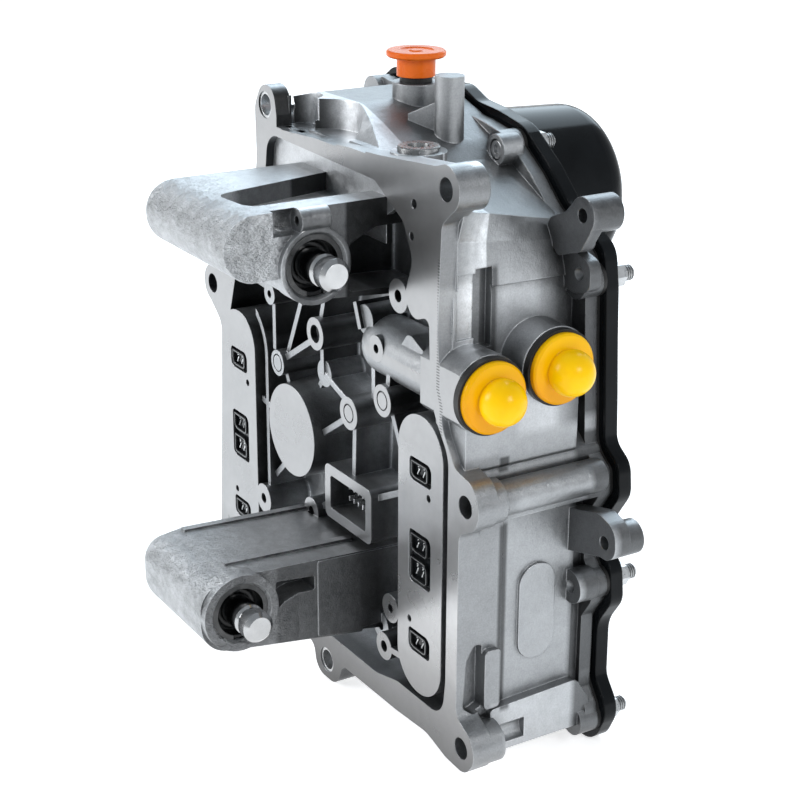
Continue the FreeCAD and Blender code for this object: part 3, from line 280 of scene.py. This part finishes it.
def arm_zones(s, x, y, z, faces):
    """Places on the arms with painted light and shade, mostly their right ends: (zone, tone)."""
    right_end = s.product(faces["right"], s.span(y, 0.0195, 0.0185), s.span(x, 0.060, 0.055))
    upper_end = s.product(right_end, s.span(z, 0.120, 0.125))
    # Painted shade on the lower arm's right end.
    shaded_lower_end = s.product(right_end, s.span(z, 0.125, 0.120))
    # Painted shadow in the pocket of the upper arm's right end.
    upper_pocket_shadow = s.product(upper_end, s.span(y, -0.0150, -0.0135))
    # Painted shade beside the upper arm's ring.
    upper_ring_shade = s.product(upper_end, s.span(y, -0.0430, -0.0380))
    # Painted light on the upper arm's right end towards its tip.
    lit_upper_tip = s.product(upper_end, s.span(y, -0.0400, -0.0430))
    # Painted shade on the front part of the lower arm's right end.
    lower_front_shade = s.product(shaded_lower_end, s.span(y, -0.0410, -0.0385))
    # Painted light on the front of the wall above the upper arm.
    lit_arm_root = s.product(faces["front"], s.within(y, 0.0030, 0.0040, 0.0005),
                     s.span(z, 0.185, 0.188))
    # Painted light on the floor of the upper arm's channel.
    lit_channel = s.product(faces["up"], s.span(y, 0.002, -0.002),
                        s.within(z, 0.1960, 0.1980, 0.0005))
    return [(lit_arm_root, 1.6), (lit_channel, 2.2), (lit_upper_tip, 1.25), (upper_pocket_shadow, 0.22),
            (upper_ring_shade, 0.42), (shaded_lower_end, 0.50), (lower_front_shade, 0.55)]


def machined_color(s, x, z, blotches, mottle):
    """Mounting face: painted sheen in the middle of the right land and painted shade towards the
    bottom, with chatter beside the rim.
    """
    value = s.total(MACHINED_TONE, s.spread(blotches, -0.03, 0.03),
                    s.spread(mottle, -0.012, 0.012))
    land_sheen = s.product(s.span(x, 0.054, 0.056), s.within(z, 0.055, 0.085, 0.03))
    wave = s.math("SINE", s.product(z, CHATTER_WAVE))
    line_x = s.total(x, s.span(z, 0.136, 0.142, 0.0, 0.0024))
    chatter = s.product(s.span(wave, 0.2, -0.6), s.within(line_x, 0.0848, 0.0866, 0.0002),
                        s.within(z, 0.122, 0.188, 0.004))
    # Painted shade darkens the face towards the bottom; painted sheen lights the middle of the
    # right land.
    value = s.product(value, s.span(z, -0.012, 0.030, 0.30, 1.0), s.toned(land_sheen, 1.6),
                      s.toned(chatter, 0.35))
    return s.tinted(value, 1, 1.01)


def cast_aluminium():
    """Sand-blasted casting: fine grain, mottled tone and machined faces, with painted highlights
    on edges, painted shade in hollows and painted light and shade by place.
    """
    s = Shader("cast_aluminium")
    turn = s.place.outputs["Normal"]
    x, y, z = (s.part(s.place.outputs["Object"], axis) for axis in "XYZ")
    faces = {"right": s.span(s.part(turn, "X"), 0.35, 0.85),
             "front": s.span(s.part(turn, "Y"), -0.55, -0.9),
             "up": s.span(s.part(turn, "Z"), 0.5, 0.9)}
    blotches = s.noise(30, 4.0, 0.6)
    mottle = s.noise(260, 4.0, 0.65)
    grain = s.noise(1500, 3.0, 0.7)
    torn = s.noise(230, 5.0, 0.72, s.stretch(0.8, 0.45, 1.0))

    # Edges get a painted highlight and hollows get painted shade.
    corner = s.rounded(EDGE_RADIUS)
    true_normal = s.node("ShaderNodeNewGeometry").outputs["True Normal"]
    same = s.node("ShaderNodeVectorMath", {0: corner, 1: true_normal}, operation="DOT_PRODUCT")
    edge_highlight = s.span(same.outputs["Value"], 0.995, 0.86)
    # Painted shade: ambient occlusion darkens the hollows.
    hollow = s.node("ShaderNodeAmbientOcclusion", {"Distance": HOLLOW_REACH}, samples=4,
                    only_local=True)
    hollow_shade = s.span(hollow.outputs["AO"], 0.25, 0.95)

    # The arms stand out of the mounting plane, with torn flash towards their tips; the inside
    # of the case lies behind it.
    arm = s.span(y, -0.0010, -0.0030)
    tip = s.product(arm, s.span(y, -0.030, -0.056))
    inside = s.product(s.span(y, 0.0060, 0.0140), s.span(y, 0.0202, 0.0196),
                       s.span(x, 0.092, 0.090))
    sandier = s.span(s.total(arm, inside), 0.0, 1.0, 1.0, 2.4)
    tone = s.total(s.spread(blotches, -0.035, 0.035),
                   s.product(s.spread(mottle, -0.03, 0.03), sandier),
                   s.spread(grain, -0.04, 0.04))
    value = s.total(CAST_TONE, tone, s.product(edge_highlight, 0.22), s.product(arm, 0.05),
                    # Painted light on the tops of the arms.
                    s.product(arm, faces["up"], 0.18),
                    s.product(tip, s.span(torn, 0.40, 0.66, -0.05, 0.10)))
    # Painted light lifts the inside of the case; wall_zones and arm_zones add painted light and
    # shade by place.
    zones = [(inside, 2.2)] + wall_zones(s, x, y, z, faces) + arm_zones(s, x, y, z, faces)
    value = s.product(value, s.span(hollow_shade, 0.0, 1.0, HOLLOW_SHADE_TONE, 1.0),
                      *(s.toned(zone, share) for zone, share in zones))

    # Machined faces: the mounting plane and the pads that lie in it.
    front = s.product(s.math("LESS_THAN", s.math("ABSOLUTE", y), 0.0002),
                      s.math("LESS_THAN", s.part(turn, "Y"), -0.9))
    color = s.mix(front, s.tinted(value, 0.975, 1.03),
                  machined_color(s, x, z, blotches, mottle))
    rough = s.blend(front, s.total(s.spread(mottle, 0.32, 0.46), s.product(edge_highlight, -0.08)),
                    s.spread(blotches, 0.26, 0.31))
    plain = s.node("ShaderNodeNewGeometry").outputs["Normal"]
    skin = s.mix(front, corner, plain)
    skin_depth = s.span(front, 0.0, 1.0, 1.0, 0.06)
    skin = s.bump(s.product(grain, skin_depth), 0.40, 0.0003, skin)
    skin = s.bump(s.product(mottle, skin_depth), 0.30, 0.0007, skin)
    skin = s.bump(s.product(torn, tip), 1.0, 0.0036, skin)
    return s.set(color=color, metallic=0.9, roughness=rough, normal=skin)


def gloss_black(name, base, rough, grain_scale, grain_strength, coat, specular=0.22):
    """Black moulding: base is its darkest tone, rough its mean roughness."""
    s = Shader(name)
    fine = s.noise(grain_scale, 3.0, 0.6)
    smear = s.noise(45, 3.0, 0.6)
    color = s.mix(s.span(smear, 0.35, 0.7), grey(base, 0.15), grey(base * 1.8, 0.15))
    return s.set(color=color, roughness=s.spread(smear, rough * 0.85, rough * 1.25),
                 coat=coat, coat_roughness=0.05, specular=specular,
                 normal=s.bump(fine, grain_strength, 0.0003, s.rounded(0.0009)))


def rubber():
    s = Shader("black_rubber")
    fine = s.noise(1500, 3.0, 0.6)
    color = s.mix(s.spread(fine), grey(0.010), grey(0.022))
    return s.set(color=color, roughness=s.spread(s.noise(90), 0.35, 0.6), specular=0.3,
                 normal=s.bump(fine, 0.2, 0.0002))


def bright_plastic(name, low, high, rough, foot=None):
    """Glossy moulded plastic; foot is the colour of painted shade on the discs under the two
    balls, which gives way to the plain colour outwards and upwards.
    """
    s = Shader(name)
    flow = s.noise(60, 3.0, 0.55)
    fine = s.noise(1800, 2.0, 0.5)
    color = s.mix(s.spread(flow), (*low, 1.0), (*high, 1.0))
    if foot:
        # Painted shade on the discs, lit outwards and upwards.
        reach, height = (s.part(s.place.outputs["Object"], axis) for axis in "XZ")
        lit = s.total(s.span(reach, 0.1030, 0.1060), s.span(height, 0.140, 0.160, 0.0, 0.8))
        color = s.mix(s.math("MINIMUM", lit, 1.0), (*foot, 1.0), color)
    return s.set(color=color, roughness=s.spread(flow, rough * 0.85, rough * 1.2),
                 sss=0.05, sss_scale=0.002, specular=0.2,
                 normal=s.bump(fine, 0.08, 0.0002, s.rounded(0.0006)))


def metal(name, low, high, rough, lines=None, strength=0.08, thread=False):
    """Turned or plated metal; lines stretches the noise across the tool marks."""
    s = Shader(name)
    where = s.stretch(*lines) if lines else None
    marks = s.noise(1.0 if lines else 700, 2.0, 0.5, where)
    stain = s.noise(120, 3.0, 0.6)
    color = s.mix(s.spread(stain), grey(low, 0.015), grey(high, 0.01))
    normal = s.bump(marks, strength, 0.0002, s.rounded(0.0003))
    if thread:
        along = s.part(s.place.outputs["Object"], "Y")
        turns = s.math("SINE", s.product(along, THREAD_WAVE))
        # Painted shade darkens the thread's grooves.
        color = s.mix(s.span(turns, -0.6, 0.8), grey(low * 0.35), color)
        normal = s.bump(turns, 0.9, 0.0004, normal)
    return s.set(color=color, metallic=1.0, normal=normal,
                 roughness=s.spread(marks, rough * 0.75, rough * 1.3))


def floor_material():
    """White floor that glows a little, so that it stays white in the picture."""
    s = Shader("pale_floor")
    soft = s.noise(3, 2.0, 0.5)
    color = s.mix(s.spread(soft), grey(0.93), grey(0.95))
    return s.set(color=color, roughness=0.8, glow=(1.0, 1.0, 1.0, 1.0), glow_strength=0.6)


MATERIALS = {
    "cast_aluminium": cast_aluminium(),
    "black_cover": gloss_black("black_cover", 0.005, 0.13, 900, 0.03, 0.0, 0.12),
    "black_rubber": rubber(),
    "zinc_steel": metal("zinc_steel", 0.50, 0.64, 0.32),
    "polished_steel": metal("polished_steel", 0.42, 0.52, 0.15, (2600, 90, 90), 0.06),
    "spring_steel": metal("spring_steel", 0.06, 0.10, 0.35),
    "orange_plastic": bright_plastic("orange_plastic", (0.76, 0.12, 0.006),
                                     (0.86, 0.17, 0.012), 0.25),
    "yellow_plastic": bright_plastic("yellow_plastic", (0.93, 0.53, 0.0),
                                     (0.97, 0.58, 0.001), 0.22, (0.76, 0.33, 0.0)),
    "black_plastic": gloss_black("black_plastic", 0.004, 0.16, 1400, 0.05, 0.1),
    "contact_metal": metal("contact_metal", 0.70, 0.85, 0.28),
    "machined_aluminium": metal("machined_aluminium", 0.62, 0.74, 0.3, (90, 90, 1800), 0.1),
}
PLUG_STEEL = metal("plug_steel", 0.26, 0.34, 0.28, strength=0.02)
THREADED = metal("threaded_steel", 0.50, 0.62, 0.34, thread=True)
COPPER = metal("copper_contact", 0.30, 0.40, 0.35)
TRIM = metal("trim_line", 0.24, 0.30, 0.35)


def dress_cad_nodes():
    slots = {part["node"]: part["material_slot"] for part in frame["record"]["subparts"]}
    for name, item in nodes.items():
        item.data.materials.clear()
        item.data.materials.append(MATERIALS[slots[name]])
    nodes["cover_studs"].data.materials[0] = THREADED
    nodes["blanking_plug"].data.materials[0] = PLUG_STEEL


# Pieces

def add_piece(name, build, slot, material=None, rides=True):
    """Mesh piece from bmesh in millimetres, which rides on the case unless rides is false."""
    bmesh.ops.recalc_face_normals(build, faces=build.faces[:])
    mesh = bpy.data.meshes.new(name)
    build.to_mesh(mesh)
    build.free()
    mesh.transform(Matrix.Scale(MM, 4))
    mesh.materials.append(material or MATERIALS[slot])
    piece = bpy.data.objects.new(name, mesh)
    bpy.context.scene.collection.objects.link(piece)
    if rides:
        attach(piece, "case")
    return piece


def rounded_loop(corners, steps=5):
    """Closed loop of (x, z) points through corners (x, z, radius), with round corners."""
    loop = []
    count = len(corners)
    for i, (x, z, radius) in enumerate(corners):
        here = Vector((x, z))
        back = Vector(corners[i - 1][:2]) - here
        ahead = Vector(corners[(i + 1) % count][:2]) - here
        run = min(radius, 0.49 * back.length, 0.49 * ahead.length)
        start = here + back.normalized() * run
        end = here + ahead.normalized() * run
        for step in range(steps + 1):
            t = step / steps
            loop.append(start * (1 - t) ** 2 + here * 2 * t * (1 - t) + end * t ** 2)
    return loop


def inset_loop(loop, distance):
    """Loop moved to its inner side; loops run anticlockwise in x and z."""
    moved = []
    count = len(loop)
    for i, point in enumerate(loop):
        along = (loop[(i + 1) % count] - loop[i - 1]).normalized()
        moved.append(point + Vector((-along.y, along.x)) * distance)
    return moved


def collar(build, loop, wall, y_front, y_back):
    """Raised ring with a flat front: wall thick, from the back to the front depth."""
    inner = inset_loop(loop, wall)
    rings = [(loop, y_back), (loop, y_front), (inner, y_front), (inner, y_back)]
    verts = [[build.verts.new((p.x, y, p.y)) for p in ring] for ring, y in rings]
    count = len(loop)
    for k in range(4):
        near, far = verts[k], verts[(k + 1) % 4]
        for i in range(count):
            j = (i + 1) % count
            build.faces.new((near[i], near[j], far[j], far[i]))


def field_loops(x):
    """Outlines of the contact fields of one land: one in a low window, two in a tall one."""
    left = x - WINDOW_WIDTH / 2 + FIELD_LEFT_MARGIN
    right = x + WINDOW_WIDTH / 2 - FIELD_RIGHT_MARGIN
    fields = []
    for z, height in WINDOWS:
        low = z - height / 2
        high = z + height / 2
        if height < TALL_WINDOW:
            fields.append((low + 0.8, high - 1.6, 4.0, 2.2))
        else:
            fields.append((z + 1.5, high - 1.7, 4.0, 2.2))
            fields.append((low + 1.0, z - 0.7, 2.4, 4.2))
    return [rounded_loop([(left, low, foot), (right, low, 2.4), (right, high, top),
                          (left, high, 0.7)]) for low, high, foot, top in fields]


def tube(build, points, radius, sides=6, across=(0, 1, 0)):
    """Round wire through points (x, y, z), closed at both ends; it never runs along across."""
    rings = []
    for i, point in enumerate(points):
        along = (points[min(i + 1, len(points) - 1)] - points[max(i - 1, 0)]).normalized()
        side = along.cross(Vector(across)).normalized()
        over = side.cross(along)
        rings.append([build.verts.new(point + (side * math.cos(a) + over * math.sin(a)) * radius)
                      for a in (2 * math.pi * k / sides for k in range(sides))])
    for first, second in zip(rings, rings[1:]):
        for k in range(sides):
            build.faces.new((first[k], first[(k + 1) % sides], second[(k + 1) % sides],
                             second[k]))
    build.faces.new(rings[0])
    build.faces.new(rings[-1])


def hook(build, x, z):
    """One contact hook: a short upper curl and a longer lower stroke."""
    y = INSERT_FACE_Y - HOOK_RAISE
    upper = [(-0.35, 2.3), (0.15, 2.5), (0.45, 2.1), (0.2, 1.6), (-0.1, 1.3)]
    lower = [(0.55, 0.7), (0.45, 0.1), (0.1, -0.6), (-0.35, -1.3), (-0.6, -2.1)]
    for stroke in (upper, lower):
        points = [Vector((x + across * HOOK_SCALE, y, z + up * HOOK_SCALE))
                  for across, up in stroke]
        tube(build, points, HOOK_WIRE)


def add_window_pieces():
    for side, x in LANDS.items():
        rims = bmesh.new()
        lines = bmesh.new()
        hooks = bmesh.new()
        browned = bmesh.new()
        for number, loop in enumerate(field_loops(x)):
            collar(rims, loop, RIM_WALL, RIM_FRONT_Y, INSERT_FACE_Y)
            collar(lines, inset_loop(loop, LINE_INSET), LINE_WALL, LINE_FRONT_Y, LINE_BACK_Y)
            middle_x = sum(p.x for p in loop) / len(loop)
            middle_z = sum(p.y for p in loop) / len(loop)
            target = browned if side == "left" and number == 1 else hooks
            for step in (-HOOK_STEP, HOOK_STEP):
                hook(target, middle_x + HOOK_SHIFT + step, middle_z)
        add_piece(side + "_field_rims", rims, "black_plastic")
        add_piece(side + "_field_lines", lines, "contact_metal", TRIM)
        piece = add_piece(side + "_hooks", hooks, "contact_metal")
        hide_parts(side + "_contacts")
        if browned.faces:
            add_piece(side + "_brown_hooks", browned, "contact_metal", COPPER)
        else:
            browned.free()


def add_return_spring(side):
    """Coil between the case and one plunger, in the place of the part's own spring, which is
    hidden.
    """
    node = side + "_return_spring"
    low, high = (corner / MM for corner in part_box(node))
    middle = (low + high) / 2
    reach = (high.y - low.y) / 2 - SPRING_WIRE
    length = high.x - low.x - 2 * SPRING_WIRE
    rising_turns = SPRING_TURNS - 2 * SPRING_FLAT_TURNS
    points = []
    for i in range(SPRING_STEPS + 1):
        turned = SPRING_TURNS * i / SPRING_STEPS
        rise = min(max((turned - SPRING_FLAT_TURNS) / rising_turns, 0.0), 1.0)
        angle = 2 * math.pi * turned
        points.append(Vector((low.x + SPRING_WIRE + length * rise,
                              middle.y + reach * math.cos(angle),
                              middle.z + reach * math.sin(angle))))
    build = bmesh.new()
    tube(build, points, SPRING_WIRE, SPRING_SIDES, across=(1, 0, 0))
    coil = add_piece(side + "_coil", build, "spring_steel", rides=False)
    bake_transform(coil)
    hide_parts(node)


def add_arm_root():
    """Cast wall that closes the case between the upper arm and the rim above it."""
    build = bmesh.new()
    front = [build.verts.new((x, ARM_ROOT_FRONT_Y, z)) for x, z in ARM_ROOT_CORNERS]
    back = [build.verts.new((x, ARM_ROOT_BACK_Y, z)) for x, z in ARM_ROOT_CORNERS]
    build.faces.new(front)
    build.faces.new(back)
    for k in range(len(front)):
        j = (k + 1) % len(front)
        build.faces.new((front[k], front[j], back[j], back[k]))
    add_piece("arm_root_wall", build, "cast_aluminium")


# Camera, floor and light

def add_camera():
    data = bpy.data.cameras.new("camera")
    data.lens = CAMERA_LENS
    data.sensor_width = CAMERA_SENSOR
    data.clip_start = 0.01
    data.clip_end = 50
    camera = bpy.data.objects.new("camera", data)
    back = Vector(CAMERA_BACK).normalized()
    turn = (-back).to_track_quat("-Z", "Y").to_matrix()
    turn = turn @ Matrix.Rotation(math.radians(CAMERA_ROLL), 3, "Z")
    camera.matrix_world = Matrix.Translation(Vector(CAMERA_PLACE) * MM) @ turn.to_4x4()
    bpy.context.scene.collection.objects.link(camera)
    bpy.context.scene.camera = camera


def add_floor():
    mesh = bpy.data.meshes.new("floor")
    build = bmesh.new()
    bmesh.ops.create_grid(build, x_segments=2, y_segments=2, size=FLOOR_REACH)
    build.to_mesh(mesh)
    build.free()
    floor = bpy.data.objects.new("floor", mesh)
    floor.location = (0, 0, FLOOR_Z * MM)
    mesh.materials.append(floor_material())
    bpy.context.scene.collection.objects.link(floor)


def add_light(name, place, power, size, aim=(0.0, 0.0, 0.1), color=(1, 1, 1)):
    """Rectangular light, with places and size in metres and power in watts."""
    data = bpy.data.lights.new(name, "AREA")
    data.shape = "RECTANGLE"
    data.size, data.size_y = size
    data.energy = power
    data.color = color
    light = bpy.data.objects.new(name, data)
    light.location = place
    light.rotation_mode = "QUATERNION"
    light.rotation_quaternion = (Vector(aim) - Vector(place)).to_track_quat("-Z", "Y")
    bpy.context.scene.collection.objects.link(light)


def add_lights():
    add_light("front_left_box", (-0.75, -1.25, 0.75), 12, (0.7, 0.7))
    add_light("top_back_box", (-0.78, 0.80, 1.00), 11, (1.0, 1.1), color=(0.74, 0.89, 1.0))
    add_light("right_box", (1.35, 0.15, 0.95), 7, (0.5, 0.5))


def add_world():
    """Plain surroundings that are brighter below than above."""
    world = bpy.data.worlds.new("studio")
    world.use_nodes = True
    tree = world.node_tree
    background = tree.nodes["Background"]
    place = tree.nodes.new("ShaderNodeTexCoord")
    split = tree.nodes.new("ShaderNodeSeparateXYZ")
    tree.links.new(place.outputs["Generated"], split.inputs[0])
    ramp = tree.nodes.new("ShaderNodeValToRGB")
    low, high = ramp.color_ramp.elements
    low.position, low.color = 0.0, WORLD_LOW
    high.position, high.color = WORLD_HIGH_AT, WORLD_HIGH
    tree.links.new(split.outputs["Z"], ramp.inputs[0])
    tree.links.new(ramp.outputs[0], background.inputs[0])
    background.inputs[1].default_value = WORLD_STRENGTH
    bpy.context.scene.world = world


bpy.context.scene.view_settings.view_transform = "Standard"
dress_cad_nodes()
add_window_pieces()
add_arm_root()
add_return_spring("upper")
add_return_spring("lower")
add_camera()
add_floor()
add_lights()
add_world()
